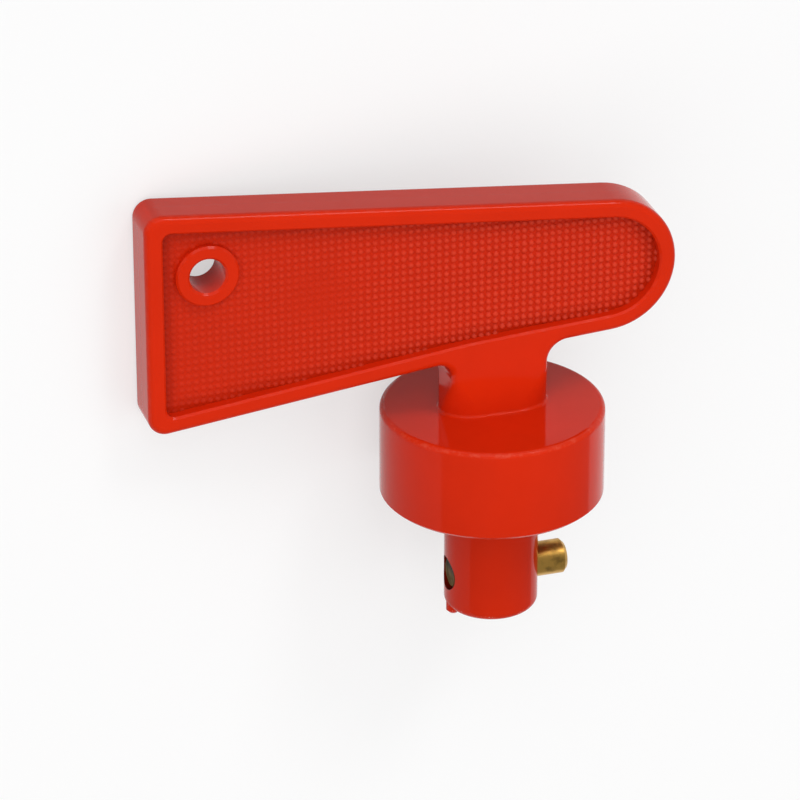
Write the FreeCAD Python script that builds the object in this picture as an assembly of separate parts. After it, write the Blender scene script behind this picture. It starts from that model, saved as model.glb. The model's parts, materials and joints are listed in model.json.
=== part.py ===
"""Removable key of a battery disconnect switch: a moulded red key and its brass cross pin.

The key is one moulding: a flat tapered handle, a short stem, a round splash cap and
the shaft that enters the switch. A brass pin is pressed across the shaft's end.

The pieces are drawn about the key's own axis, with the cap's top face at height zero,
the handle above it, its wide end towards -X and its front towards -Y. They are then
turned and laid down as the loose key comes to rest on a table: on the cap's side and
the handle's back edge. All sizes are in millimetres and degrees.
"""

import FreeCAD, Part
import math
import os

Vector = FreeCAD.Vector

# Handle
handle_thickness = 7.6
handle_reach = 50.9
end_top_height = 37.3
end_low_height = 3.7
top_slope = 5.7
low_slope = 6.7
nose_slope = 3.7
low_bend_reach = 4.35
nose_centre_reach = 15.8
end_corner_radius = 2.5
handle_edge_radius = 1.0

# Recessed grip panel on both sides of the handle
rim_width = 2.5
recess_depth = 1.7
recess_corner_radius = 1.2
rim_inner_chamfer = 0.3

# Key-ring hole and the boss around it
ring_hole_diameter = 5.1
ring_boss_wall = 1.95
ring_boss_below_rim = 0.65
ring_hole_from_end = 8.9
ring_hole_from_top = 10.2
ring_boss_chamfer = 0.3
ring_edge_chamfer = 0.3

# Stem between the handle and the cap
stem_top_width = 14.1
stem_base_width = 15.7
stem_base_round_across = 5.1
stem_base_round_through = 3.7
stem_end_shoulder_radius = 2.0
stem_nose_shoulder_radius = 3.1
stem_blend_height = 6.0
stem_foot_radius = 0.4

# Splash cap
cap_diameter = 32.0
cap_height = 13.5
cap_wall = 2.2
cap_roof = 3.0
cap_top_radius = 0.8
cap_rim_chamfer = 0.4
cap_inner_chamfer = 0.8

# Shaft
shaft_diameter = 13.5
shaft_below_cap = 18.4
shaft_end_radius = 1.2
gate_mark_diameter = 2.1
gate_mark_height = 0.85
gate_mark_chamfer = 0.4
gate_mark_angle = 182.0

# Cross pin
pin_diameter = 5.0
pin_clearance = 0.01
pin_from_shaft_end = 5.55
pin_proud = 4.25
pin_sunk = 0.55
pin_chamfer = 0.5

# Worked out from the driving dimensions
half_thickness = handle_thickness / 2
cap_radius = cap_diameter / 2
shaft_radius = shaft_diameter / 2
shaft_end_z = -cap_height - shaft_below_cap
pin_z = shaft_end_z + pin_from_shaft_end
hole_x = -handle_reach + ring_hole_from_end
hole_z = end_top_height - ring_hole_from_top
boss_radius = ring_hole_diameter / 2 + ring_boss_wall


def tangent(degrees):
    """Tangent of an angle in degrees."""
    return math.tan(math.radians(degrees))


def rounded_wire(points, radii):
    """A closed wire through the points, each corner rounded to its radius, or sharp at zero."""
    edges = []
    starts = []
    ends = []
    arcs = []
    for i, corner in enumerate(points):
        before = (points[i - 1] - corner).normalize()
        after = (points[(i + 1) % len(points)] - corner).normalize()
        half = before.getAngle(after) / 2
        radius = radii[i]
        if radius > 0:
            reach = radius / math.tan(half)
            middle = corner + (before + after).normalize() * (radius / math.sin(half) - radius)
            start = corner + before * reach
            end = corner + after * reach
            arcs.append(Part.Arc(start, middle, end).toShape())
        else:
            start = corner
            end = corner
            arcs.append(None)
        starts.append(start)
        ends.append(end)
    for i in range(len(points)):
        if arcs[i]:
            edges.append(arcs[i])
        following = starts[(i + 1) % len(points)]
        if ends[i].distanceToPoint(following) > 1e-6:
            edges.append(Part.LineSegment(ends[i], following).toShape())
    return Part.Wire(edges)


def edges_where(shape, test):
    """The shape's edges whose middle point passes the test."""
    return [edge for edge in shape.Edges if test(edge.valueAt((edge.FirstParameter + edge.LastParameter) / 2))]


def handle_lines(inset):
    """Height and rise per millimetre of the handle's three long edges, moved inwards by inset.

    They are the upper edge, the lower edge beside the wide end, and the lower edge beside
    the nose, which bends away from it at low_bend_reach. Heights are at the key's axis.
    """
    upper_rise = -tangent(top_slope)
    end_rise = tangent(low_slope)
    nose_rise = tangent(nose_slope)
    upper_0 = end_top_height + upper_rise * handle_reach
    end_0 = end_low_height + end_rise * handle_reach
    nose_0 = end_0 + (nose_rise - end_rise) * low_bend_reach
    upper = (upper_0 - inset * math.hypot(1, upper_rise), upper_rise)
    end = (end_0 + inset * math.hypot(1, end_rise), end_rise)
    nose = (nose_0 + inset * math.hypot(1, nose_rise), nose_rise)
    return upper, end, nose


def height_at(line, x):
    """Height of a line of handle_lines at x."""
    return line[0] + line[1] * x


def crossing(first, second):
    """The x where two lines of handle_lines meet."""
    return (second[0] - first[0]) / (first[1] - second[1])


def nose_round():
    """Radius and centre height of the round that joins the upper and lower edges at the nose."""
    upper, _, nose = handle_lines(0)
    upper_stretch = math.hypot(1, upper[1])
    gap = height_at(upper, nose_centre_reach) - height_at(nose, nose_centre_reach)
    radius = gap / (upper_stretch + math.hypot(1, nose[1]))
    return radius, height_at(upper, nose_centre_reach) - radius * upper_stretch


def flag_corners(inset):
    """Corner points of the handle's outline before rounding: upper end, tip and lower end."""
    upper, end, nose = handle_lines(inset)
    left = -handle_reach + inset
    tip = crossing(upper, nose)
    upper_end = Vector(left, 0, height_at(upper, left))
    tip_point = Vector(tip, 0, height_at(upper, tip))
    lower_end = Vector(left, 0, height_at(end, left))
    return upper_end, tip_point, lower_end


def handle_plate():
    """The handle's plate and the top of its stem as one outline, with all its long edges rounded."""
    upper_end, tip_point, lower_end = flag_corners(0)
    _, end, nose = handle_lines(0)
    nose_radius, _ = nose_round()
    half = stem_top_width / 2
    foot = stem_blend_height - 2 * handle_edge_radius
    points = [
        upper_end,
        tip_point,
        Vector(half, 0, height_at(nose, half)),
        Vector(half, 0, foot),
        Vector(-half, 0, foot),
        Vector(-half, 0, height_at(end, -half)),
        lower_end,
    ]
    shoulders = [stem_nose_shoulder_radius, 0, 0, stem_end_shoulder_radius]
    radii = [end_corner_radius, nose_radius, *shoulders, end_corner_radius]
    face = Part.Face(rounded_wire(points, radii))
    face.translate(Vector(0, -half_thickness, 0))
    plate = face.extrude(Vector(0, handle_thickness, 0))
    outer = edges_where(plate, lambda p: abs(abs(p.y) - half_thickness) < 1e-6 and p.z > foot + 1e-6)
    plate = plate.makeFillet(handle_edge_radius, outer)
    below = Part.makeBox(stem_top_width, handle_thickness, stem_blend_height)
    below.translate(Vector(-half, -half_thickness, 0))
    return plate.cut(below)


def recess_cutter():
    """What is taken from the front face: the panel's pocket, less the boss round the key-ring hole."""
    upper_end, tip_point, lower_end = flag_corners(rim_width)
    _, end, nose = handle_lines(rim_width)
    nose_radius, _ = nose_round()
    bend = crossing(end, nose)
    points = [upper_end, tip_point, Vector(bend, 0, height_at(end, bend)), lower_end]
    radii = [recess_corner_radius, nose_radius - rim_width, 0, recess_corner_radius]
    floor_y = recess_depth - half_thickness
    face = Part.Face(rounded_wire(points, radii))
    face.translate(Vector(0, floor_y, 0))
    pocket = face.extrude(Vector(0, -recess_depth, 0))
    boss_height = recess_depth - ring_boss_below_rim
    boss = Part.makeCylinder(boss_radius, boss_height, Vector(hole_x, floor_y, hole_z), Vector(0, -1, 0))
    boss_face_y = floor_y - boss_height
    boss = boss.makeChamfer(ring_boss_chamfer, edges_where(boss, lambda p: abs(p.y - boss_face_y) < 1e-6))
    return pocket.cut(boss)


def handle():
    """The plate with a recessed panel on each side, their bevelled rims and the key-ring hole."""
    plate = handle_plate()
    front = recess_cutter()
    back = front.mirror(Vector(0, 0, 0), Vector(0, 1, 0))
    plate = plate.cut(front).cut(back)

    def on_inner_rim(point):
        return abs(abs(point.y) - half_thickness) < 1e-6 and inner_distance(point) > rim_width - rim_inner_chamfer

    plate = plate.makeChamfer(rim_inner_chamfer, edges_where(plate, on_inner_rim))
    hole = Part.makeCylinder(
        ring_hole_diameter / 2, handle_thickness, Vector(hole_x, -half_thickness, hole_z), Vector(0, 1, 0)
    )
    plate = plate.cut(hole)
    boss_y = half_thickness - ring_boss_below_rim

    def on_hole_edge(point):
        off_axis = math.hypot(point.x - hole_x, point.z - hole_z)
        return abs(off_axis - ring_hole_diameter / 2) < 1e-3 and abs(abs(point.y) - boss_y) < 1e-3

    return plate.makeChamfer(ring_edge_chamfer, edges_where(plate, on_hole_edge))


def inner_distance(point):
    """How far a point of the handle's face lies inside its outline."""
    upper, end, nose = handle_lines(0)
    distances = [point.x + handle_reach]
    distances.append((height_at(upper, point.x) - point.z) / math.hypot(1, upper[1]))
    low = end if point.x < crossing(end, nose) else nose
    distances.append((point.z - height_at(low, point.x)) / math.hypot(1, low[1]))
    if point.x > nose_centre_reach:
        radius, centre_z = nose_round()
        distances.append(radius - math.hypot(point.x - nose_centre_reach, point.z - centre_z))
    return min(distances)


def stem_section(width, across, through, z):
    """A rectangle across the stem at height z, each corner a quarter of an oval of those half axes."""
    x = width / 2 - across
    y = half_thickness - through
    edges = []
    last = Vector(width / 2, -y, z)
    for quarter, (side_x, side_y) in enumerate([(1, 1), (-1, 1), (-1, -1), (1, -1)]):
        oval = Part.Ellipse(Vector(side_x * x, side_y * y, z), across, through)
        arc = Part.ArcOfEllipse(oval, quarter * math.pi / 2, (quarter + 1) * math.pi / 2).toShape()
        first = arc.valueAt(arc.FirstParameter)
        edges += [Part.makeLine(last, first), arc]
        last = arc.valueAt(arc.LastParameter)
    return Part.Wire(edges)


def stem():
    """The stem's lower part, whose ends grow rounder from the handle down to the cap."""
    middle = stem_blend_height / 2
    mean_width = (stem_top_width + stem_base_width) / 2
    mean_across = (handle_edge_radius + stem_base_round_across) / 2
    mean_through = (handle_edge_radius + stem_base_round_through) / 2
    return Part.makeLoft(
        [
            stem_section(stem_base_width, stem_base_round_across, stem_base_round_through, -cap_roof / 2),
            stem_section(stem_base_width, stem_base_round_across, stem_base_round_through, 0),
            stem_section(mean_width, mean_across, mean_through, middle),
            stem_section(stem_top_width, handle_edge_radius, handle_edge_radius, stem_blend_height),
        ],
        True,
        False,
    )


def cap_and_shaft():
    """The splash cap, hollow below, and the shaft, turned about the key's axis."""
    bore = cap_radius - cap_wall
    points = [
        (0, 0, 0),
        (cap_radius, 0, cap_top_radius),
        (cap_radius, cap_rim_chamfer - cap_height, 0),
        (cap_radius - cap_rim_chamfer, -cap_height, 0),
        (bore + cap_rim_chamfer, -cap_height, 0),
        (bore, cap_rim_chamfer - cap_height, 0),
        (bore, -cap_roof - cap_inner_chamfer, 0),
        (bore - cap_inner_chamfer, -cap_roof, 0),
        (shaft_radius + cap_inner_chamfer, -cap_roof, 0),
        (shaft_radius, -cap_roof - cap_inner_chamfer, 0),
        (shaft_radius, shaft_end_z, shaft_end_radius),
        (0, shaft_end_z, 0),
    ]
    wire = rounded_wire([Vector(x, 0, z) for x, z, _ in points], [radius for _, _, radius in points])
    return Part.Face(wire).revolve(Vector(0, 0, 0), Vector(0, 0, 1), 360)


def gate_mark():
    """The low rounded nib that the moulding gate left on the shaft's end."""
    angle = math.radians(gate_mark_angle)
    radius = gate_mark_diameter / 2
    out = shaft_radius - radius
    low = shaft_end_z - gate_mark_height
    height = gate_mark_height + 2 * shaft_end_radius
    nib = Part.makeCylinder(radius, height, Vector(out * math.cos(angle), out * math.sin(angle), low))
    return nib.makeChamfer(gate_mark_chamfer, edges_where(nib, lambda p: abs(p.z - low) < 1e-6))


def key_body():
    """The whole red moulding, with its cross hole."""
    body = cap_and_shaft().fuse([stem(), handle(), gate_mark()]).removeSplitter()
    reach = stem_base_width / 2 + stem_foot_radius

    def on_foot(point):
        return abs(point.z) < 1e-6 and math.hypot(point.x, point.y) < reach

    body = body.makeFillet(stem_foot_radius, edges_where(body, on_foot))
    hole = Part.makeCylinder(
        pin_diameter / 2 + pin_clearance, shaft_diameter * 2, Vector(-shaft_diameter, 0, pin_z), Vector(1, 0, 0)
    )
    return body.cut(hole)


def cross_pin():
    """The brass pin: sunk at one side of the shaft and standing proud of the other."""
    start = -shaft_radius + pin_sunk
    length = shaft_radius + pin_proud - start
    pin = Part.makeCylinder(pin_diameter / 2, length, Vector(start, 0, pin_z), Vector(1, 0, 0))
    ends = edges_where(pin, lambda p: abs(p.x - start) < 1e-6 or abs(p.x - start - length) < 1e-6)
    return pin.makeChamfer(pin_chamfer, ends)


def lying_angle():
    """The roll about the key's axis at which the cap's side and the handle's back edge share a floor.

    The back edge is a round of handle_edge_radius, so its lowest point meets the floor
    where reach * sin(roll) + half * cos(roll) equals the cap's radius less the round.
    """
    reach = handle_reach - handle_edge_radius
    half = half_thickness - handle_edge_radius
    drop = cap_radius - handle_edge_radius
    return math.asin(drop / math.hypot(reach, half)) - math.atan2(half, reach)


def lay_down(shapes):
    """Turns the shapes from the key's own axes to their rest, centred over the floor at z = 0."""
    roll = lying_angle()
    across = Vector(math.cos(roll), 0, math.sin(roll))
    through = Vector(math.sin(roll), 0, -math.cos(roll))
    turn = FreeCAD.Matrix(
        across.x, through.x, 0, 0,
        0, 0, 1, 0,
        across.z, through.z, 0, cap_radius,
        0, 0, 0, 1,
    )
    turned = [shape.transformed(turn) for shape in shapes]
    box = Part.makeCompound(turned).optimalBoundingBox(False, False)
    centre = Vector(-(box.XMin + box.XMax) / 2, -(box.YMin + box.YMax) / 2, 0)
    for shape in turned:
        shape.translate(centre)
    return turned, roll, centre


def main():
    """Builds both pieces and writes one STEP file for each."""
    names = ["key_body", "cross_pin"]
    shapes, roll, centre = lay_down([key_body(), cross_pin()])
    os.makedirs("parts", exist_ok=True)
    for name, shape in zip(names, shapes):
        shape.exportStep("parts/" + name + ".step")
        print(name, "volume", round(shape.Volume, 1), "solids", len(shape.Solids), "valid", shape.isValid())
    print("roll", round(math.degrees(roll), 3), "axis at x", round(centre.x, 3), "cap top at y", round(centre.y, 3))


main()
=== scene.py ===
"""The removable key of a battery disconnect switch, dressed and lit for a plain studio view.

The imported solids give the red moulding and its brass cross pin. This script adds the
small domes on the two grip panels, the finishes, the floor, the lamps and the camera.
Lengths are in metres in the part's own frame, and in millimetres where a name says so.
"""

import json
import math
from types import SimpleNamespace

import bpy
import numpy as np
from bpy.props import FloatProperty, FloatVectorProperty, IntProperty, PointerProperty
from mathutils import Matrix, Vector


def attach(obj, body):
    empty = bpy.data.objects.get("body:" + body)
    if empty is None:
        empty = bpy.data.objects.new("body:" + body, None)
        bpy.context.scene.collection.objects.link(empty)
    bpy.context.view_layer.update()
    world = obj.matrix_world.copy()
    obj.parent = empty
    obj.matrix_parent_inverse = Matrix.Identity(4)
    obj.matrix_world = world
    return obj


bl_info = {
    "name": "Disconnect Switch Key",
    "version": (1, 0, 0),
    "blender": (4, 5, 0),
    "location": "View3D > Sidebar > Switch Key",
    "description": "Dresses the moulded key of a battery disconnect switch and sets up its studio",
    "category": "Object",
}

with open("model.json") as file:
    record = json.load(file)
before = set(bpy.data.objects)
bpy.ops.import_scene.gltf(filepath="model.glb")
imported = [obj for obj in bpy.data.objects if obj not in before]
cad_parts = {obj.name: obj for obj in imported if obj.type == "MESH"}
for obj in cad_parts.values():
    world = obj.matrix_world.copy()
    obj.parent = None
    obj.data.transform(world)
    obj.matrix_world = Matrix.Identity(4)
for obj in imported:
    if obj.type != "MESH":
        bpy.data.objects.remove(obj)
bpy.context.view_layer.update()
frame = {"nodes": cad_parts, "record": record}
# Millimetres in a metre
MM = 1000.0


# Properties that a user may change


def length(name, description, value):
    """A length in metres, shown in the scene's units."""
    return FloatProperty(
        name=name,
        description=description,
        default=value,
        precision=5,
        unit="LENGTH",
        subtype="DISTANCE",
    )


def angle(name, description, degrees):
    """An angle, given here in degrees."""
    return FloatProperty(
        name=name,
        description=description,
        default=math.radians(degrees),
        unit="ROTATION",
        subtype="ANGLE",
    )


def share(name, description, value):
    """A number from 0 to 1."""
    return FloatProperty(
        name=name,
        description=description,
        default=value,
        min=0.0,
        max=1.0,
        precision=3,
        subtype="FACTOR",
    )


def number(name, description, value):
    """A plain number from 1 upward."""
    return FloatProperty(name=name, description=description, default=value, min=1.0)


def colour(name, description, value):
    """A linear colour."""
    return FloatVectorProperty(
        name=name,
        description=description,
        default=value,
        size=3,
        min=0.0,
        max=1.0,
        subtype="COLOR",
    )


class KeySizes(bpy.types.PropertyGroup):
    """Sizes of the moulding that the added pieces and the finishes follow."""

    handle_thickness: length("Handle thickness", "Thickness of the flat handle", 0.0076)
    handle_reach: length("Handle reach", "From the key's axis to the handle's wide end", 0.0509)
    end_top_height: length("Top height", "Height of the upper corner at the wide end", 0.0373)
    end_low_height: length("Low height", "Height of the lower corner at the wide end", 0.0037)
    top_slope: angle("Top slope", "Fall of the upper edge towards the nose", 5.7)
    low_slope: angle("Low slope", "Rise of the lower edge beside the wide end", 6.7)
    nose_slope: angle("Nose slope", "Rise of the lower edge beside the nose", 3.7)
    low_bend_reach: length("Bend reach", "From the key's axis to the lower edge's bend", 0.00435)
    nose_centre_reach: length("Nose centre", "From the key's axis to the nose's centre", 0.0158)
    rim_width: length("Rim width", "Width of the flat rim round the panel", 0.0025)
    recess_depth: length("Recess depth", "Depth of the panel below the rim", 0.0017)
    ring_hole_from_end: length("Hole from end", "From the wide end to the hole's axis", 0.0089)
    ring_hole_from_top: length("Hole from top", "From the upper corner to the hole's axis", 0.0102)
    ring_boss_radius: length("Boss radius", "Outer radius of the boss round the ring hole", 0.0045)
    stem_top: length("Stem top", "Height at which the stem passes into the handle", 0.006)
    cap_height: length("Cap height", "Height of the splash cap", 0.0135)
    cap_radius: length("Cap radius", "Radius of the splash cap", 0.016)
    shaft_radius: length("Shaft radius", "Radius of the shaft", 0.00675)
    shaft_length: length("Shaft length", "Length of the shaft below the cap", 0.0184)
    pin_radius: length("Pin radius", "Radius of the cross pin", 0.0025)
    pin_from_end: length("Pin from end", "From the shaft's end to the cross pin's axis", 0.00555)


class GripPattern(bpy.types.PropertyGroup):
    """The pattern of small domes on the grip panels."""

    column_pitch: length("Column pitch", "Distance between the columns of domes", 0.001032)
    row_pitch: length("Row pitch", "Distance between the rows of domes", 0.001028)
    column_start: length("Column start", "Place of one column from the key's axis", 0.00064)
    row_start: length("Row start", "Height of one row above the cap", 0.00057)
    dome_radius: length("Dome radius", "Radius of a dome at the panel's floor", 0.00052)
    dome_height: length("Dome height", "Height of an unworn dome", 0.00029)
    dome_sink: length("Dome sink", "How far a dome's closed base lies in the floor", 0.00006)
    edge_clearance: length("Edge clearance", "Least gap from a dome's centre to the wall", -0.0001)
    dome_sides: IntProperty(
        name="Dome sides", description="Sides of a dome", default=8, min=6, max=16
    )
    thumb_across: length("Thumb across", "Middle of the thumb's place, across the key", -0.0265)
    thumb_up: length("Thumb up", "Middle of the thumb's place, above the cap", 0.0215)
    thumb_width: length("Thumb width", "Reach across of the thumb's wear", 0.0085)
    thumb_height: length("Thumb height", "Reach upwards of the thumb's wear", 0.0075)
    worn_share: share("Wear", "How much lower the domes are where the thumb rests", 0.65)
    unevenness: share("Unevenness", "Spread of the domes' heights", 0.07)


class KeyFinish(bpy.types.PropertyGroup):
    """Colours and gloss of the moulding and the pin."""

    red: colour("Red", "Colour of the moulding", (0.67, 0.023, 0.003))
    # This colour shows rubs on the edges, and also the painted highlights on the domes' tops and
    # on the cap's rim
    rub_and_highlight_red: colour("Rub and highlight red", "Colour of rubbed edges", (0.73, 0.10, 0.055))
    dust: colour("Dust", "Colour of specks caught on the shaft's end", (0.85, 0.42, 0.34))
    red_index: number("Red's index", "Refractive index of the moulding's gloss", 1.21)
    gloss_roughness: share("Gloss", "Roughness of the polished faces", 0.07)
    grip_roughness: share("Grip gloss", "Roughness of the grip panels", 0.27)
    cloudiness: share("Clouds", "Strength of the faint clouds in the red", 0.09)
    # Painted shade: the red darkens towards the shaft's end, where less light falls
    shaft_painted_shade: share("Shaft shade", "How much darker the red is at the shaft's end", 0.20)
    # Painted shade on the handle's upper edge
    top_painted_shade: share("Top shade", "How much darker the red is on the handle's upper edge", 0.24)
    # Painted shade on the grip panels, for the shade in their recess
    panel_painted_shade: share("Panel shade", "How much darker the red is on the grip panels", 0.08)
    # Painted shade between the domes, in their shaded valleys
    valley_painted_shade: share("Valley shade", "How much darker the red is between the domes", 0.15)
    # Painted shadow along the panels' walls, where the rim shades the panel
    wall_painted_shadow: share("Wall shadow", "How much darker the red is along a panel's walls", 0.34)
    # Painted shade in the bore beside the sunk pin end
    bore_painted_shade: share("Bore shade", "How dark the bore beside the sunk pin end is", 0.80)
    # The domes' tops: partly rub and partly a painted highlight
    dome_rub_and_highlight: share("Dome rub and highlight", "How much of the worn red shows on the domes", 0.30)
    edge_rub: share("Edge rub", "How much of the worn red shows on the edges", 0.10)
    # Painted highlight on the cap's rim, broken into patches
    rim_painted_highlight: share("Rim highlight", "How much of the worn red shows on the cap's rim", 0.06)
    rim_highlight_patches: share("Rim highlight patches", "How much more of it shows in patches of the rim", 0.26)
    specks: share("Specks", "Strength of the dust's specks round the shaft's end", 0.80)
    end_specks: share("End specks", "Strength of the specks on the shaft's flat end", 0.15)
    brass: colour("Brass", "Colour of clean brass", (0.66, 0.38, 0.085))
    tarnish: colour("Tarnish", "Colour of dull brass", (0.15, 0.095, 0.026))
    brass_roughness: share("Brass gloss", "Roughness of the turned brass", 0.22)
    stains: share("Stains", "How much of the tarnish shows in stains", 0.60)
    ring_shade: share("Ring shade", "How much of the tarnish shows in the lathe's rings", 0.30)
    # Grime on the sunk pin end, with painted shade that darkens it towards its top
    grime_and_shade: share("Grime and shade", "How dark the lower half of the sunk pin end is", 0.80)


class Studio(bpy.types.PropertyGroup):
    """The camera, the lamps and the floor."""

    view_turn: angle("View turn", "Camera's turn from the key's front to its wide end", 17.5)
    view_fall: angle("View fall", "How far the camera looks down on the key", 27.0)
    view_distance: length("View distance", "From the camera to the point it looks at", 0.68)
    aim_across: length("Aim across", "Point looked at, across the key", -0.013685)
    aim_up: length("Aim up", "Point looked at, along the key's axis", 0.002486)
    lens: number("Lens", "Focal length in millimetres", 218.02)
    lamp_level: share("Lamp level", "Strength of all the lamps together", 1.0)
    room: share("Room light", "Strength of the even light of the room", 0.36)
    floor_white: share("Floor white", "Whiteness of the floor", 0.4)
    floor_glow: share("Floor glow", "What eye and mirrors see on top of the floor's white", 0.57)
    floor_size: length("Floor size", "Width of the floor", 30.0)


# The key's own axes, in the part's frame


def key_axes():
    """The middle of the cap's top face, and the directions across, through and up the key.

    The shaft's mount lies on the key's axis at the cap's rim and points away from the
    handle, and the cross pin's mount points across the key.
    """
    mounts = {mount["name"]: mount for mount in frame["record"]["mounts"]}
    shaft = mounts["bayonet_shaft"]
    up = -Vector(shaft["axis"]).normalized()
    across = Vector(mounts["cross_pin_end"]["axis"]).normalized()
    through = up.cross(across)
    origin = Vector(shaft["pos_m"]) + up * bpy.context.scene.key_sizes.cap_height
    return origin, across, through, up


def to_part(across_m, through_m, up_m):
    """Points of the key's own axes in the part's frame: origin plus each axis times its share."""
    origin, across, through, up = (np.array(axis) for axis in key_axes())
    return (
        origin
        + np.multiply.outer(across_m, across)
        + np.multiply.outer(through_m, through)
        + np.multiply.outer(up_m, up)
    )


# The handle's outline


def handle_outline(scale=1.0):
    """The handle's upper edge, its lower edge beside the wide end and the nose, and the nose.

    An edge is its height at the key's axis and its rise for each length across. The nose
    is the circle that touches the edges above and below it, as its centre's place across
    and up and its radius. Lengths are in metres times the scale.
    """
    size = bpy.context.scene.key_sizes
    top_rise = -math.tan(size.top_slope)
    end_rise = math.tan(size.low_slope)
    nose_rise = math.tan(size.nose_slope)
    reach = size.handle_reach * scale
    top = size.end_top_height * scale + top_rise * reach
    end = size.end_low_height * scale + end_rise * reach
    nose = end + (nose_rise - end_rise) * size.low_bend_reach * scale
    centre = size.nose_centre_reach * scale
    gap = top + top_rise * centre - nose - nose_rise * centre
    radius = gap / (math.hypot(1, top_rise) + math.hypot(1, nose_rise))
    centre_up = top + top_rise * centre - radius * math.hypot(1, top_rise)
    return (top, top_rise), (end, end_rise), (nose, nose_rise), (centre, centre_up, radius)


def above_edge(edge, across, up):
    """How far points, or a point of a finish, lie above an edge of the outline, square to it."""
    height, rise = edge
    return (up - height - rise * across) * (1 / math.hypot(1, rise))


def panel_depth(x, z):
    """How far points lie inside the grip panel's outline, less than zero outside.

    It is the least distance to the outline's sides: the wide end, the upper edge, the
    lower edge on either side of its bend, and past the nose's centre the round nose.
    """
    size = bpy.context.scene.key_sizes
    top, low_end, low_nose, (centre, centre_z, radius) = handle_outline()
    from_end = x + size.handle_reach
    from_top = -above_edge(top, x, z)
    before_bend = x < -size.low_bend_reach
    from_low = np.where(before_bend, above_edge(low_end, x, z), above_edge(low_nose, x, z))
    from_nose = np.where(x > centre, radius - np.hypot(x - centre, z - centre_z), from_end)
    return np.minimum.reduce([from_end, from_top, from_low, from_nose]) - size.rim_width


# Meshes

# The grid of domes, counted from the key's axis and from the cap, covers the whole panel.
DOME_COLUMNS = np.arange(-60, 40)
DOME_ROWS = np.arange(0, 45)
# A dome's rings of points, as shares of its radius. One more point closes its middle.
DOME_RINGS = np.array([1.0, 0.8, 0.47])
DOME_SEED = 11


def add_mesh(name, points, face_groups, normals, material):
    """An object at the origin from points, groups of like faces and one normal for each point."""
    mesh = bpy.data.meshes.new(name)
    faces = [face for group in face_groups for face in group.tolist()]
    mesh.from_pydata(points.tolist(), [], faces)
    mesh.polygons.foreach_set("use_smooth", np.ones(len(faces), bool))
    if normals is not None:
        mesh.normals_split_custom_set_from_vertices(normals.tolist())
    mesh.materials.append(material)
    mesh.update()
    mesh.validate()
    piece = bpy.data.objects.new(name, mesh)
    bpy.context.scene.collection.objects.link(piece)
    return piece


def dome_places():
    """Centres of the domes: a square grid inside the panel's outline, clear of the ring boss."""
    size = bpy.context.scene.key_sizes
    grip = bpy.context.scene.grip_pattern
    columns = DOME_COLUMNS * grip.column_pitch + grip.column_start
    rows = DOME_ROWS * grip.row_pitch + grip.row_start
    x, z = (values.ravel() for values in np.meshgrid(columns, rows))
    hole_x = size.ring_hole_from_end - size.handle_reach
    hole_z = size.end_top_height - size.ring_hole_from_top
    off_boss = np.hypot(x - hole_x, z - hole_z) - size.ring_boss_radius
    kept = (panel_depth(x, z) > grip.edge_clearance) & (off_boss > grip.edge_clearance)
    return x[kept], z[kept]


def dome_heights(x, z, seed):
    """Height of each dome: the full height, less the wear, give or take a little.

    The wear grows towards the wide end and is a bell round the thumb's place.
    """
    grip = bpy.context.scene.grip_pattern
    off_thumb = (x - grip.thumb_across) / grip.thumb_width
    over_thumb = (z - grip.thumb_up) / grip.thumb_height
    thumb = np.exp(-(off_thumb**2) - over_thumb**2)
    towards_end = np.clip(-x / bpy.context.scene.key_sizes.handle_reach, 0, 1)
    wear = grip.worn_share * np.maximum(thumb, towards_end)
    spread = np.random.default_rng(seed).uniform(-grip.unevenness, grip.unevenness, x.size)
    return grip.dome_height * (1 - wear) * (1 + spread)


def grip_domes(name, side, material):
    """One panel's domes, as one mesh of small closed bodies on the panel's floor.

    A dome is a paraboloid: at share s of its radius and angle a, a point stands at
    centre + radius * s * (cos a, sin a), and height * (1 - s * s) above the floor. The
    outermost ring is sunk into the floor and closed by one flat face.
    side is -1 for the panel on the key's front and 1 for the one on its back.
    """
    size = bpy.context.scene.key_sizes
    grip = bpy.context.scene.grip_pattern
    x, z = dome_places()
    height = dome_heights(x, z, DOME_SEED + side)
    sides = grip.dome_sides
    turn = np.arange(sides) * 2 * math.pi / sides + math.pi / sides
    ring_x = np.append(np.multiply.outer(DOME_RINGS, np.cos(turn)).ravel(), 0.0)
    ring_z = np.append(np.multiply.outer(DOME_RINGS, np.sin(turn)).ravel(), 0.0)
    level = np.append(np.repeat(DOME_RINGS, sides), 0.0)
    rise = 1 - level**2
    sunk = np.where(level == 1.0, grip.dome_sink, 0.0)
    point_x = x[:, None] + grip.dome_radius * ring_x
    point_z = z[:, None] + grip.dome_radius * ring_z
    out = height[:, None] * rise - sunk
    floor = size.handle_thickness / 2 - size.recess_depth
    points = to_part(point_x.ravel(), side * (floor + out.ravel()), point_z.ravel())

    # A paraboloid's normal leans outward by its slope, twice height * s / radius
    lean = 2 * height[:, None] / grip.dome_radius
    outward = np.full(out.size, float(side))
    tilt = to_part((lean * ring_x).ravel(), outward, (lean * ring_z).ravel())
    normals = tilt - to_part(np.zeros(1), np.zeros(1), np.zeros(1))
    normals /= np.linalg.norm(normals, axis=1)[:, None]

    # One dome's faces: its flat base, bands of four-sided faces and a crown of triangles
    here = np.arange(sides)
    following = (here + 1) % sides
    inner = (len(DOME_RINGS) - 1) * sides
    middle = inner + sides
    base = here[::-1][None]
    bands = [
        np.stack([here, following, following + sides, here + sides], 1) + low
        for low in range(0, inner, sides)
    ]
    crown = np.stack([here + inner, following + inner, np.full(sides, middle)], 1)
    starts = np.arange(x.size) * (middle + 1)
    groups = [
        (starts[:, None, None] + (face if side < 0 else face[:, ::-1])).reshape(-1, face.shape[1])
        for face in (base, *bands, crown)
    ]
    return add_mesh(name, points, groups, normals, material)


# Materials


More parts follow.
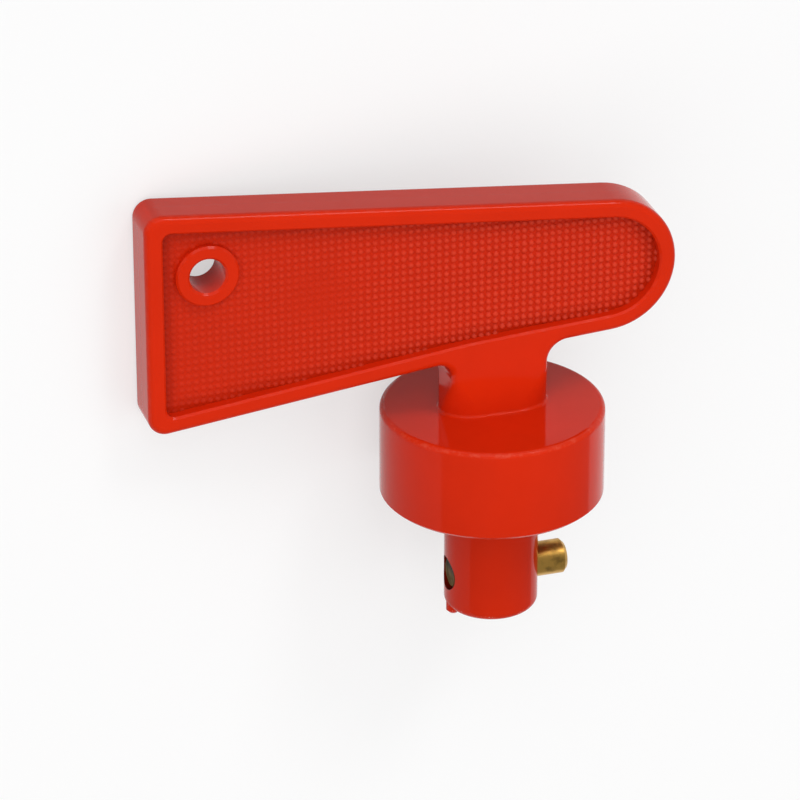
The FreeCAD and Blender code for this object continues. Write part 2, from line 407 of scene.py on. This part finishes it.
class Wire:
    """One output socket of a node, so that shader maths reads as plain arithmetic."""

    def __init__(self, board, socket):
        self.board = board
        self.socket = socket

    def math(self, operation, *values):
        """Maths on numbers and outputs."""
        kind = "ShaderNodeMath"
        return self.board.node(kind, {"operation": operation}, dict(enumerate(values)))

    def __add__(self, other):
        return self.math("ADD", self, other)

    __radd__ = __add__

    def __sub__(self, other):
        return self.math("SUBTRACT", self, other)

    def __rsub__(self, other):
        return self.math("SUBTRACT", other, self)

    def __mul__(self, other):
        return self.math("MULTIPLY", self, other)

    __rmul__ = __mul__

    def __pow__(self, other):
        return self.math("POWER", self, other)

    def __neg__(self):
        return self.math("MULTIPLY", self, -1.0)

    def __abs__(self):
        return self.math("ABSOLUTE", self)

    def least(self, other):
        """The smaller of this and another."""
        return self.math("MINIMUM", self, other)

    def most(self, other):
        """The larger of this and another."""
        return self.math("MAXIMUM", self, other)

    def ramp(self, low, high):
        """0 at low and 1 at high, smooth between them. High may be the smaller."""
        settings = {"interpolation_type": "SMOOTHSTEP", "clamp": True}
        values = {"Value": self, "From Min": low, "From Max": high}
        return self.board.node("ShaderNodeMapRange", settings, values)


class Board:
    """A material's or the world's node tree, and short ways to add to it."""

    def __init__(self, owner):
        owner.use_nodes = True
        self.tree = owner.node_tree
        self.tree.nodes.clear()

    def node(self, kind, settings, values, output=0):
        """Adds a node, makes its settings, then fills its sockets, and returns one output."""
        made = self.tree.nodes.new(kind)
        for name, value in settings.items():
            setattr(made, name, value)
        for name, value in values.items():
            if isinstance(value, Wire):
                self.tree.links.new(value.socket, made.inputs[name])
            else:
                made.inputs[name].default_value = value
        return Wire(self, made.outputs[output])

    def vector(self, operation, first, second, output=0):
        """Vector maths on two vectors."""
        kind = "ShaderNodeVectorMath"
        return self.node(kind, {"operation": operation}, {0: first, 1: second}, output)

    def mix(self, factor, first, second):
        """A mix of two colours, from the first at 0 to the second at 1."""
        values = {0: factor, 6: first, 7: second}
        return self.node("ShaderNodeMix", {"data_type": "RGBA"}, values, 2)

    def noise(self, place, scale, detail, rough):
        """Smooth random clouds from 0 to 1. The scale is in clouds for each unit of the place."""
        values = {"Vector": place, "Scale": scale, "Detail": detail, "Roughness": rough}
        return self.node("ShaderNodeTexNoise", {}, values)

    def key_place(self):
        """The point in the key's own axes in millimetres: across, through, up, and as a vector."""
        origin, *axes = key_axes()
        here = self.node("ShaderNodeTexCoord", {}, {}, "Object")
        offset = self.vector("SUBTRACT", here, origin)
        parts = [self.vector("DOT_PRODUCT", offset, axis * MM, "Value") for axis in axes]
        whole = self.node("ShaderNodeCombineXYZ", {}, dict(enumerate(parts)))
        return (*parts, whole)

    def facing(self, axis):
        """How squarely the surface faces along an axis, either way: 1 facing it, 0 edge on."""
        normal = self.node("ShaderNodeTexCoord", {}, {}, "Normal")
        return abs(self.vector("DOT_PRODUCT", normal, axis, "Value"))

    def bump(self, height_mm):
        """A normal from a height in millimetres."""
        values = {"Strength": 1.0, "Distance": 1 / MM, "Height": height_mm}
        return self.node("ShaderNodeBump", {}, values)

    def finish(self, shader, kind="ShaderNodeOutputMaterial"):
        """Joins the shader to the output."""
        output = self.tree.nodes.new(kind)
        self.tree.links.new(shader.socket, output.inputs["Surface"])


def four(rgb, level=1.0):
    """A colour at a level of its own brightness, with its alpha."""
    return (*(level * value for value in rgb), 1.0)


def new_board(name):
    """A new material and its board."""
    material = bpy.data.materials.new(name)
    return material, Board(material)


def weigh(weights, marks):
    """The sum of some marks, each times the weight of its name."""
    total = 0.0
    for name, weight in weights.items():
        total = total + weight * getattr(marks, name)
    return total


def span(first, second):
    """The length of two steps at a right angle: the root of the sum of their squares."""
    return (first * first + second * second) ** 0.5


def from_pin(through, up):
    """A point's height over the cross pin's axis and its distance from it, in millimetres."""
    size = bpy.context.scene.key_sizes
    over = up - (size.pin_from_end - size.cap_height - size.shaft_length) * MM
    return over, span(through, over)


# A length that no part of the key reaches, and half the width of the change to the nose
FAR_MM = 100.0
NOSE_BLEND_MM = 0.05


def panel_inside(across, up):
    """How far in from the panel's outline a point of the finish lies, in millimetres.

    The lower edge bends outward, so the farther of its two lines counts. The round nose
    counts only past its centre: before that, FAR_MM is added to its distance.
    """
    size = bpy.context.scene.key_sizes
    top, low_end, low_nose, (centre, centre_up, radius) = handle_outline(MM)
    from_end = across + size.handle_reach * MM
    from_top = -above_edge(top, across, up)
    from_low = above_edge(low_end, across, up).most(above_edge(low_nose, across, up))
    before_nose = across.ramp(centre + NOSE_BLEND_MM, centre - NOSE_BLEND_MM)
    from_nose = radius - span(across - centre, up - centre_up) + FAR_MM * before_nose
    return from_end.least(from_top).least(from_low).least(from_nose) - size.rim_width * MM


# Where the red's marks begin and where they are full, in millimetres from what each names
HANDLE_OVER_STEM = (0.0, 1.0)
BAND_UNDER_TOP_EDGE = (-1.6, -1.2)
PANEL_OVER_FLOOR = (0.3, 0.1)
# Places of the painted shade between the domes, of the domes' rub and painted highlight, and of
# the painted shadow along the walls
VALLEY_OVER_FLOOR = (0.26, 0.02)
DOME_OVER_FLOOR = (0.04, 0.28)
WALL_SHADOW_OFF_WALL = (2.6, 0.2)
# Place of the painted highlight on the cap's rim
RIM_OFF_CAP_RADIUS = (-0.6, -0.35)
RIM_FOOT_OVER_CAP = (-0.65, -0.4)
RIM_TOP_OVER_CAP = (0.5, 0.1)
# Painted shade, from just under the cap to the shaft's end
SHADE_UNDER_CAP = (-1.0, -24.0)
SPECKS_OVER_SHAFT_END = (1.6, 0.2)
# Place of the painted shade in the bore
BORE_OFF_PIN_RADIUS = (0.10, 0.03)
BORE_ACROSS = (-5.0, -5.6)
PARTING_OFF_MIDDLE = (0.09, 0.02)
# The same in how squarely a face looks along an axis: 1 for straight along it
TOP_FACING = (0.85, 0.97)
PANEL_FACING = (0.7, 0.9)
SHAFT_END_FACING = (0.9, 1.0)
PARTING_FACING = (0.3, 0.1)
# HALFWAY * facing * (1 - facing) is 1 where a face looks half along, as a rounded edge does
HALFWAY = 4.0
EDGE_ROUNDNESS = (0.35, 0.95)
# The red's own brightness in its clouds, and its brightness under the painted shade and in the
# bore's painted shade
CLOUD_LEVEL = 0.55
PAINTED_SHADE_LEVEL = 0.42
BORE_LEVEL = 0.08
# What its marks add to the red's roughness, and how high they stand in millimetres
RED_ROUGHER = {"cloud": 0.03, "smear": 0.05, "scratch": 0.08, "worn": 0.10, "speck": 0.20}
RED_RELIEF = {"peel": 0.0016, "wave": 0.02, "grain": 0.0007, "parting": 0.012, "scratch": -0.0012}


def red_places(board, across, through, up, grip_panel):
    """Where the red's marks can lie, each from 0 to 1."""
    size = bpy.context.scene.key_sizes
    _, _, through_axis, up_axis = key_axes()
    face_on = board.facing(through_axis)
    end_on = board.facing(up_axis)
    at = SimpleNamespace()

    # The handle, its upper edge, which takes painted shade, and its parting line
    handle = (up - size.stem_top * MM).ramp(*HANDLE_OVER_STEM)
    top_edge, *_ = handle_outline(MM)
    top_band = above_edge(top_edge, across, up).ramp(*BAND_UNDER_TOP_EDGE)
    at.top = end_on.ramp(*TOP_FACING) * top_band
    parting = abs(through).ramp(*PARTING_OFF_MIDDLE) * face_on.ramp(*PARTING_FACING)
    at.parting = parting * handle

    # A grip panel and its valleys, which take painted shade, the moulding's rounded edges, which
    # take rub, the domes, which take rub and a painted highlight, and the walls, which take a
    # painted shadow
    over_floor = abs(through) - (size.handle_thickness / 2 - size.recess_depth) * MM
    if grip_panel:
        at.panel = 1.0
        at.edge = 0.0
    else:
        at.panel = handle * over_floor.ramp(*PANEL_OVER_FLOOR) * face_on.ramp(*PANEL_FACING)
        handle_edge = HALFWAY * face_on * (1.0 - face_on)
        turned_edge = HALFWAY * end_on * (1.0 - end_on)
        edge = turned_edge + (handle_edge - turned_edge) * handle
        at.edge = edge.ramp(*EDGE_ROUNDNESS)
    at.valley = at.panel * over_floor.ramp(*VALLEY_OVER_FLOOR)
    at.dome = at.panel * over_floor.ramp(*DOME_OVER_FLOOR)
    at.wall = at.panel * panel_inside(across, up).ramp(*WALL_SHADOW_OFF_WALL)

    # The cap's rounded rim, which takes a painted highlight, the shaft, which takes painted shade
    # towards its end, its end, which takes specks of dust, and the bore of the sunk pin end, which
    # takes painted shade
    cap_rim = (span(across, through) - size.cap_radius * MM).ramp(*RIM_OFF_CAP_RADIUS)
    at.cap_rim = cap_rim * up.ramp(*RIM_FOOT_OVER_CAP) * up.ramp(*RIM_TOP_OVER_CAP)
    at.shaft = up.ramp(*SHADE_UNDER_CAP)
    over_end = up + (size.cap_height + size.shaft_length) * MM
    at.shaft_end = over_end.ramp(*SPECKS_OVER_SHAFT_END)
    at.flat_end = end_on.ramp(*SHAFT_END_FACING)
    _, off_pin = from_pin(through, up)
    bore = (off_pin - size.pin_radius * MM).ramp(*BORE_OFF_PIN_RADIUS)
    at.bore = bore * across.ramp(*BORE_ACROSS)
    return at


def red_marks(board, place, at):
    """The red's random marks from 0 to 1, in the places where they can lie."""
    look = bpy.context.scene.key_finish
    marks = SimpleNamespace(parting=at.parting)

    # Clouds, smears, scratches, worn patches and specks
    marks.cloud = board.noise(place, scale=0.16, detail=3.0, rough=0.55)
    smear_place = board.vector("MULTIPLY", place, (0.35, 1.0, 1.4))
    smear = board.noise(smear_place, scale=0.55, detail=4.0, rough=0.6)
    marks.smear = smear.ramp(0.48, 0.72)
    scratch_place = board.vector("MULTIPLY", place, (0.10, 1.6, 2.3))
    scratch = board.noise(scratch_place, scale=2.6, detail=2.0, rough=0.4)
    marks.scratch = scratch.ramp(0.67, 0.74) * marks.cloud.ramp(0.42, 0.6)
    patch = board.noise(place, scale=0.9, detail=3.0, rough=0.65)
    marks.patch = patch.ramp(0.46, 0.66)
    marks.worn = at.edge * marks.patch
    speck = board.noise(place, scale=3.1, detail=1.0, rough=0.5).ramp(0.68, 0.74)
    specks = look.specks + (look.end_specks - look.specks) * at.flat_end
    marks.speck = speck * at.shaft_end * specks

    # The moulding's skin, waves and grain
    marks.peel = board.noise(place, scale=0.75, detail=1.0, rough=0.4)
    marks.wave = board.noise(place, scale=0.085, detail=0.0, rough=0.4)
    marks.grain = board.noise(place, scale=5.0, detail=1.0, rough=0.5)
    return marks


def red_plastic(name, grip_panel):
    """Glossy red moulding: soft waves, fine scuffs, duller grip panels, rubs on its edges, painted
    shade and painted highlights.
    """
    look = bpy.context.scene.key_finish
    material, board = new_board(name)
    across, through, up, place = board.key_place()
    at = red_places(board, across, through, up, grip_panel)
    marks = red_marks(board, place, at)

    shade = board.mix(look.cloudiness, four(look.red), four(look.red, CLOUD_LEVEL))
    base = board.mix(marks.cloud.ramp(0.3, 0.75), four(look.red), shade)
    # Painted shade: darker towards the shaft's end, on the handle's upper edge, on the grip
    # panels, between the domes and along the panels' walls
    darker = look.shaft_painted_shade * at.shaft + look.top_painted_shade * at.top
    darker = darker + look.panel_painted_shade * at.panel + look.valley_painted_shade * at.valley
    darker = darker + look.wall_painted_shadow * at.wall
    base = board.mix(darker, base, four(look.red, PAINTED_SHADE_LEVEL))
    # The domes' tops: partly rub and partly a painted highlight
    base = board.mix(look.dome_rub_and_highlight * at.dome, base, four(look.rub_and_highlight_red))
    # A painted highlight in patches on the cap's rim, and real rubs on the rounded edges
    rubbed_and_highlit = (look.rim_painted_highlight + look.rim_highlight_patches * marks.patch) * at.cap_rim
    rubbed_and_highlit = rubbed_and_highlit + look.edge_rub * marks.worn
    base = board.mix(rubbed_and_highlit, base, four(look.rub_and_highlight_red))
    base = board.mix(marks.speck, base, four(look.dust))
    # Painted shade in the bore beside the sunk pin end
    base = board.mix(look.bore_painted_shade * at.bore, base, four(look.red, BORE_LEVEL))

    duller = (look.grip_roughness - look.gloss_roughness) * at.panel
    values = {
        "Base Color": base,
        "Roughness": look.gloss_roughness + duller + weigh(RED_ROUGHER, marks),
        "IOR": look.red_index,
        "Normal": board.bump(weigh(RED_RELIEF, marks)),
    }
    board.finish(board.node("ShaderNodeBsdfPrincipled", {}, values))
    return material


# The lathe's rings in each millimetre, and how many of them they wander by
RINGS_PER_MM = 7.0
RING_WANDER = 0.6
# Where the sunk end's grime and painted shade begin and are full, in millimetres across from the
# shaft's side
SUNK_END_OFF_SIDE = (1.4, 0.6)
# Where the painted shade on the sunk end gets darker, in millimetres above the pin's axis
SHADE_OVER_PIN_AXIS = (-0.6, 1.0)
# How squarely the pin's cut ends look along it
CUT_FACING = (0.55, 0.85)
# The tarnish's brightness under the grime and painted shade
SUNK_END_LEVEL = 0.25
# What its marks add to the brass's roughness, and how high they stand in millimetres
BRASS_ROUGHER = {"stain": 0.14, "drawn": 0.12, "rings": 0.1, "sunk_end": 0.3}
BRASS_RELIEF = {"rings": 0.006, "drawn": 0.004, "dent": 0.01}


def turned_brass(name):
    """Brass wire cut and chamfered on a lathe: fine rings round the pin, dull and bright, and a
    grimy sunk end with painted shade.
    """
    size = bpy.context.scene.key_sizes
    look = bpy.context.scene.key_finish
    material, board = new_board(name)
    across, through, up, place = board.key_place()
    _, across_axis, _, _ = key_axes()
    over_pin, off_pin = from_pin(through, up)

    # Rings run round the pin's side and, on its cut ends, round its axis
    end_on = board.facing(across_axis).ramp(*CUT_FACING)
    ring_place = across + (off_pin - across) * end_on
    wander = board.noise(place, scale=0.8, detail=2.0, rough=0.5)
    ring_values = {0: ring_place * RINGS_PER_MM + wander * RING_WANDER, 1: wander}
    ring_vector = board.node("ShaderNodeCombineXYZ", {}, ring_values)
    rings = board.noise(ring_vector, scale=1.0, detail=3.0, rough=0.7)

    # Marks of drawing along the wire, stains, dents, and the sunk end's grime with painted shade
    draw_place = board.vector("MULTIPLY", place, (0.3, 3.0, 3.0))
    drawn = board.noise(draw_place, scale=1.4, detail=3.0, rough=0.6)
    stain = board.noise(place, scale=0.7, detail=4.0, rough=0.6).ramp(0.42, 0.72)
    dent = board.noise(place, scale=1.1, detail=2.0, rough=0.5)
    sunk_end = (across + size.shaft_radius * MM).ramp(*SUNK_END_OFF_SIDE)
    grime_and_shade = look.grime_and_shade + (1.0 - look.grime_and_shade) * over_pin.ramp(*SHADE_OVER_PIN_AXIS)
    marks = SimpleNamespace(rings=rings, drawn=drawn, stain=stain, dent=dent, sunk_end=sunk_end)

    base = board.mix(look.stains * stain, four(look.brass), four(look.tarnish))
    # The sunk end: grime, and painted shade that darkens it towards its top
    base = board.mix(sunk_end * grime_and_shade, base, four(look.tarnish, SUNK_END_LEVEL))
    base = board.mix(rings.ramp(0.55, 0.85) * look.ring_shade, base, four(look.tarnish))
    values = {
        "Base Color": base,
        "Metallic": 1.0,
        "Roughness": look.brass_roughness + weigh(BRASS_ROUGHER, marks),
        "Normal": board.bump(weigh(BRASS_RELIEF, marks)),
    }
    board.finish(board.node("ShaderNodeBsdfPrincipled", {}, values))
    return material


def seen_rays(board):
    """1 for a ray from the camera, a mirror or through glass, and 0 for a ray of soft light."""
    kinds = ("Is Camera Ray", "Is Glossy Ray", "Is Transmission Ray")
    camera, mirror, glass = (board.node("ShaderNodeLightPath", {}, {}, kind) for kind in kinds)
    return camera + mirror + glass


# The paper's fine tooth, its roughness without and with it, and its shine
PAPER_TEETH_PER_METRE = 900.0
PAPER_ROUGHNESS = 0.75
PAPER_TOOTH = 0.1
PAPER_SHINE = 0.1


def floor_paper(name):
    """Matt white paper, which the eye and mirrors see a little whiter than the lamps make it."""
    studio = bpy.context.scene.key_studio
    material, board = new_board(name)
    here = board.node("ShaderNodeTexCoord", {}, {}, "Object")
    tooth = board.noise(here, scale=PAPER_TEETH_PER_METRE, detail=2.0, rough=0.6)
    values = {
        "Base Color": four((1.0, 1.0, 1.0), studio.floor_white),
        "Roughness": PAPER_ROUGHNESS + PAPER_TOOTH * tooth,
        "Specular IOR Level": PAPER_SHINE,
    }
    paper = board.node("ShaderNodeBsdfPrincipled", {}, values)
    strength = seen_rays(board) * studio.floor_glow
    glow = board.node("ShaderNodeEmission", {}, {"Strength": strength})
    board.finish(board.node("ShaderNodeAddShader", {}, {0: paper, 1: glow}))
    return material


# Studio

# For each lamp: its turn to the right of the key's front, its rise above it and its spread
# in degrees, what it adds to a white sheet that faces it, and whether mirrors show it.
LAMPS = {
    "top_lamp": (-10.0, 58.0, 46.0, 0.19, True),
    "right_lamp": (42.0, 54.0, 17.0, 0.16, True),
    "low_lamp": (48.0, -15.0, 60.0, 0.18, False),
    "front_lamp": (-25.0, 8.0, 70.0, 0.43, False),
}
# The room is white below these heights of a direction's end, and dimmer above them.
HORIZON_TOP = 0.10
HORIZON_FOOT = 0.04
SENSOR_WIDTH_MM = 36.0
NEAREST_SEEN = 0.01
FARTHEST_SEEN = 20.0


def aim(position, target, side):
    """A lamp's or camera's matrix at position, looking at target, its own X nearest to side."""
    back = (position - target).normalized()
    right = (side - back * side.dot(back)).normalized()
    up = back.cross(right)
    turn = Matrix((right, up, back)).transposed().to_4x4()
    return Matrix.Translation(position) @ turn


def add_lamp(name, turn, rise, spread, level, mirrored):
    """One of the far, round, soft lamps."""
    _, across, through, up = key_axes()
    turn, rise = math.radians(turn), math.radians(rise)
    sideways = math.sin(turn) * across - math.cos(turn) * through
    toward = math.cos(rise) * sideways + math.sin(rise) * up
    data = bpy.data.lights.new(name, "SUN")
    data.angle = math.radians(spread)
    data.energy = math.pi * level * bpy.context.scene.key_studio.lamp_level
    lamp = bpy.data.objects.new(name, data)
    lamp.visible_glossy = mirrored
    bpy.context.scene.collection.objects.link(lamp)
    lamp.matrix_world = aim(toward, Vector(), across)


def lay_floor():
    """A flat square of paper under the key."""
    half = bpy.context.scene.key_studio.floor_size / 2
    corners = np.array([(-half, -half, 0), (half, -half, 0), (half, half, 0), (-half, half, 0)])
    square = [np.array([[0, 1, 2, 3]])]
    add_mesh("floor", corners, square, None, floor_paper("floor_paper"))


def light_room():
    """Even white light all round, dimmer above the horizon."""
    studio = bpy.context.scene.key_studio
    world = bpy.data.worlds.new("room")
    bpy.context.scene.world = world
    board = Board(world)
    direction = board.node("ShaderNodeTexCoord", {}, {}, "Generated")
    height = board.vector("DOT_PRODUCT", direction, (0.0, 0.0, 1.0), "Value")
    strength = studio.room + (1.0 - studio.room) * height.ramp(HORIZON_TOP, HORIZON_FOOT)
    white = {"Color": (1.0, 1.0, 1.0, 1.0), "Strength": strength}
    board.finish(board.node("ShaderNodeBackground", {}, white), "ShaderNodeOutputWorld")


def place_camera():
    """A long lens that looks down on the key from a little to the left of its front."""
    scene = bpy.context.scene
    studio = scene.key_studio
    origin, across, through, up = key_axes()
    turn = studio.view_turn
    fall = studio.view_fall
    ahead = across * math.sin(turn) + through * math.cos(turn)
    look = ahead * math.cos(fall) - up * math.sin(fall)
    right = across * math.cos(turn) - through * math.sin(turn)
    target = origin + across * studio.aim_across + up * studio.aim_up
    data = bpy.data.cameras.new("camera")
    data.sensor_fit = "HORIZONTAL"
    data.sensor_width = SENSOR_WIDTH_MM
    data.lens = studio.lens
    data.clip_start = NEAREST_SEEN
    data.clip_end = FARTHEST_SEEN
    camera = bpy.data.objects.new("camera", data)
    scene.collection.objects.link(camera)
    camera.matrix_world = aim(target - look * studio.view_distance, target, right)
    scene.camera = camera


# Operators, the panel and the add-on's own calls


class SWITCH_KEY_OT_moulding(bpy.types.Operator):
    """Give the red moulding its finish"""

    bl_idname = "switch_key.moulding"
    bl_label = "Dress Moulding"

    def execute(self, context):
        body = frame["nodes"]["key_body"]
        body.material_slots[0].material = red_plastic("red_moulding", False)
        return {"FINISHED"}


class SWITCH_KEY_OT_cross_pin(bpy.types.Operator):
    """Give the brass cross pin its finish"""

    bl_idname = "switch_key.cross_pin"
    bl_label = "Dress Cross Pin"

    def execute(self, context):
        pin = frame["nodes"]["cross_pin"]
        pin.material_slots[0].material = turned_brass("turned_brass")
        return {"FINISHED"}


class SWITCH_KEY_OT_grip_domes(bpy.types.Operator):
    """Stand the small domes on both grip panels"""

    bl_idname = "switch_key.grip_domes"
    bl_label = "Add Grip Domes"

    def execute(self, context):
        material = red_plastic("red_grip", True)
        for name, side in (("grip_domes_front", -1), ("grip_domes_back", 1)):
            domes = grip_domes(name, side, material)
            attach(domes, "root")
        return {"FINISHED"}


class SWITCH_KEY_OT_studio(bpy.types.Operator):
    """Lay the floor and set up the lamps, the room light and the camera"""

    bl_idname = "switch_key.studio"
    bl_label = "Set Up Studio"

    def execute(self, context):
        lay_floor()
        for name, settings in LAMPS.items():
            add_lamp(name, *settings)
        light_room()
        place_camera()
        context.scene.view_settings.view_transform = "Standard"
        return {"FINISHED"}


class SWITCH_KEY_PT_panel(bpy.types.Panel):
    """The key's sizes, finishes and studio, and the steps that make them"""

    bl_label = "Switch Key"
    bl_idname = "SWITCH_KEY_PT_panel"
    bl_space_type = "VIEW_3D"
    bl_region_type = "UI"
    bl_category = "Switch Key"

    def draw(self, context):
        for operator in OPERATORS:
            self.layout.operator(operator.bl_idname)
        for group in GROUPS:
            box = self.layout.box()
            settings = getattr(context.scene, group)
            for name in settings.__annotations__:
                box.prop(settings, name)


GROUPS = {
    "key_sizes": KeySizes,
    "grip_pattern": GripPattern,
    "key_finish": KeyFinish,
    "key_studio": Studio,
}
OPERATORS = (
    SWITCH_KEY_OT_moulding,
    SWITCH_KEY_OT_cross_pin,
    SWITCH_KEY_OT_grip_domes,
    SWITCH_KEY_OT_studio,
)


def register():
    """Registers the properties, the operators and the panel."""
    for name, group in GROUPS.items():
        bpy.utils.register_class(group)
        setattr(bpy.types.Scene, name, PointerProperty(type=group))
    for operator in OPERATORS:
        bpy.utils.register_class(operator)
    bpy.utils.register_class(SWITCH_KEY_PT_panel)


def unregister():
    """Takes back what register did."""
    bpy.utils.unregister_class(SWITCH_KEY_PT_panel)
    for operator in OPERATORS:
        bpy.utils.unregister_class(operator)
    for name, group in GROUPS.items():
        delattr(bpy.types.Scene, name)
        bpy.utils.unregister_class(group)


def main():
    """Makes everything in order."""
    register()
    bpy.ops.switch_key.moulding()
    bpy.ops.switch_key.cross_pin()
    bpy.ops.switch_key.grip_domes()
    bpy.ops.switch_key.studio()


if __name__ == "__main__":
    main()
